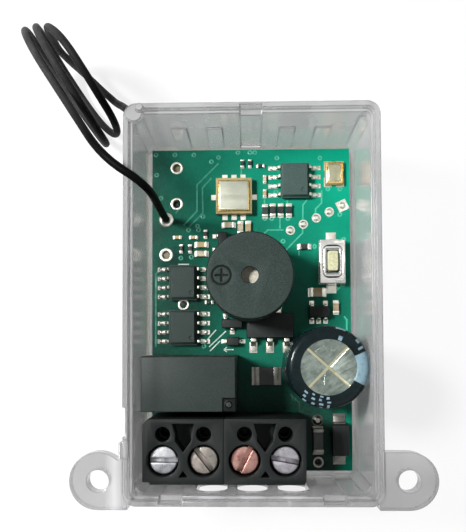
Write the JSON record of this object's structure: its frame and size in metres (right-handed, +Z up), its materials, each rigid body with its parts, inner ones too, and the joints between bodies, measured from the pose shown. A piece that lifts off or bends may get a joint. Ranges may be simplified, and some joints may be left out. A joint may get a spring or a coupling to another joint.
{
  "type": "gate remote receiver",
  "caption": "Radio receiver board for a gate remote in a clear open tray with screw ears, terminal blocks, relay, buzzer, push switch and a coiled wire antenna.",
  "frame": {"origin": "middle of the underside of the tray and its ears, seen from above", "axes": "+X to the right in the picture, +Y to the antenna end, +Z up out of the open tray"},
  "size_m": [0.0518, 0.062, 0.0222],
  "materials": {
    "antenna_coil": "matt black insulation",
    "antenna_lead": "matt black insulation",
    "antenna_tail": "matt black insulation",
    "board_pads": "tinned",
    "buzzer_base": "black",
    "buzzer_case": "black",
    "buzzer_coil": "enamelled",
    "buzzer_core": "plain",
    "buzzer_diaphragm": "plain",
    "buzzer_magnet": "sintered",
    "buzzer_pins": "tinned",
    "capacitor_bung": "black",
    "capacitor_can": "plain",
    "capacitor_element": "rolled foil and paper",
    "capacitor_leads": "tinned",
    "capacitor_sleeve": "dark blue",
    "case_tray": "clear grey",
    "ceramic_bases": "ceramic",
    "ceramic_lids": "gold grey",
    "chip_capacitors": "tan ceramic",
    "chip_ends": "tinned",
    "chip_resistors": "black",
    "circuit_board": "green varnish",
    "logic_chip_leads": "tinned",
    "logic_chips": "black",
    "power_diode": "black",
    "power_diode_tabs": "tinned",
    "receiver_chip": "black",
    "receiver_chip_leads": "tinned",
    "regulator": "black",
    "regulator_leads": "tinned",
    "relay_armature": "plated",
    "relay_base": "black",
    "relay_bobbin": "black",
    "relay_cover": "black",
    "relay_fixed_contacts": "bright",
    "relay_moving_contact": "bright",
    "relay_pins": "tinned",
    "relay_winding": "enamelled",
    "relay_yoke": "plated",
    "small_bodies": "black",
    "small_leads": "tinned",
    "solder_joints": "tinned",
    "switch_base": "black",
    "switch_button": "cream",
    "switch_dome": "plain",
    "switch_frame": "bright",
    "switch_leads": "plain",
    "terminal_cage_1": "plated",
    "terminal_cage_2": "plated",
    "terminal_cage_3": "plated",
    "terminal_cage_4": "plated",
    "terminal_contacts": "tinned",
    "terminal_housing_left": "black",
    "terminal_housing_right": "black",
    "terminal_screw_1": "plated",
    "terminal_screw_2": "plated",
    "terminal_screw_3": "plated",
    "terminal_screw_4": "plated"
  },
  "bodies": {
    "base": {"antenna_coil": "antenna_coil", "antenna_lead": "antenna_lead", "antenna_tail": "antenna_tail", "board_pads": "board_pads", "buzzer_base": "buzzer_base", "buzzer_case": "buzzer_case", "buzzer_coil": "buzzer_coil", "buzzer_core": "buzzer_core", "buzzer_diaphragm": "buzzer_diaphragm", "buzzer_magnet": "buzzer_magnet", "buzzer_pins": "buzzer_pins", "capacitor_bung": "capacitor_bung", "capacitor_can": "capacitor_can", "capacitor_element": "capacitor_element", "capacitor_leads": "capacitor_leads", "capacitor_sleeve": "capacitor_sleeve", "case_tray": "case_tray", "ceramic_bases": "ceramic_bases", "ceramic_lids": "ceramic_lids", "chip_capacitors": "chip_capacitors", "chip_ends": "chip_ends", "chip_resistors": "chip_resistors", "circuit_board": "circuit_board", "logic_chip_leads": "logic_chip_leads", "logic_chips": "logic_chips", "power_diode": "power_diode", "power_diode_tabs": "power_diode_tabs", "receiver_chip": "receiver_chip", "receiver_chip_leads": "receiver_chip_leads", "regulator": "regulator", "regulator_leads": "regulator_leads", "relay_base": "relay_base", "relay_bobbin": "relay_bobbin", "relay_cover": "relay_cover", "relay_fixed_contacts": "relay_fixed_contacts", "relay_pins": "relay_pins", "relay_winding": "relay_winding", "relay_yoke": "relay_yoke", "small_bodies": "small_bodies", "small_leads": "small_leads", "solder_joints": "solder_joints", "switch_base": "switch_base", "switch_dome": "switch_dome", "switch_frame": "switch_frame", "switch_leads": "switch_leads", "terminal_contacts": "terminal_contacts", "terminal_housing_left": "terminal_housing_left", "terminal_housing_right": "terminal_housing_right"},
    "screw_1": {"terminal_screw_1": "terminal_screw_1"},
    "cage_1": {"terminal_cage_1": "terminal_cage_1"},
    "screw_2": {"terminal_screw_2": "terminal_screw_2"},
    "cage_2": {"terminal_cage_2": "terminal_cage_2"},
    "screw_3": {"terminal_screw_3": "terminal_screw_3"},
    "cage_3": {"terminal_cage_3": "terminal_cage_3"},
    "screw_4": {"terminal_screw_4": "terminal_screw_4"},
    "cage_4": {"terminal_cage_4": "terminal_cage_4"},
    "button": {"switch_button": "switch_button"},
    "armature": {"relay_armature": "relay_armature", "relay_moving_contact": "relay_moving_contact"}
  },
  "joints": [
    {"name": "screw_1_turn", "type": "hinge", "parent": "base", "child": "screw_1", "pos_m": [-0.01113, -0.01908, 0.014], "axis": [0, 0, 1], "range_deg": [-1008, 0]},
    {"name": "cage_1_climb", "type": "slide", "parent": "base", "child": "cage_1", "axis": [0, 0, 1], "range_m": [0, 0.0014]},
    {"name": "screw_2_turn", "type": "hinge", "parent": "base", "child": "screw_2", "pos_m": [-0.00605, -0.01908, 0.014], "axis": [0, 0, 1], "range_deg": [-1008, 0]},
    {"name": "cage_2_climb", "type": "slide", "parent": "base", "child": "cage_2", "axis": [0, 0, 1], "range_m": [0, 0.0014]},
    {"name": "screw_3_turn", "type": "hinge", "parent": "base", "child": "screw_3", "pos_m": [-0.00097, -0.01908, 0.014], "axis": [0, 0, 1], "range_deg": [-1008, 0]},
    {"name": "cage_3_climb", "type": "slide", "parent": "base", "child": "cage_3", "axis": [0, 0, 1], "range_m": [0, 0.0014]},
    {"name": "screw_4_turn", "type": "hinge", "parent": "base", "child": "screw_4", "pos_m": [0.00411, -0.01908, 0.014], "axis": [0, 0, 1], "range_deg": [-1008, 0]},
    {"name": "cage_4_climb", "type": "slide", "parent": "base", "child": "cage_4", "axis": [0, 0, 1], "range_m": [0, 0.0014]},
    {"name": "button_press", "type": "slide", "parent": "base", "child": "button", "axis": [0, 0, -1], "range_m": [0, 0.00025], "stiffness_N_per_m": 400, "springref_m": -0.0002, "deforming": ["switch_dome"]},
    {"name": "armature_pull", "type": "hinge", "parent": "base", "child": "armature", "pos_m": [-0.00505, -0.00959, 0.01345], "axis": [0, 1, 0], "range_deg": [0, 3], "stiffness_Nm_per_rad": 0.0005, "springref_deg": -5.73}
  ],
  "couplings": [
    {"joint": "screw_1_turn", "follows": "cage_1_climb", "rad_per_m": -12566},
    {"joint": "screw_2_turn", "follows": "cage_2_climb", "rad_per_m": -12566},
    {"joint": "screw_3_turn", "follows": "cage_3_climb", "rad_per_m": -12566},
    {"joint": "screw_4_turn", "follows": "cage_4_climb", "rad_per_m": -12566}
  ]
}
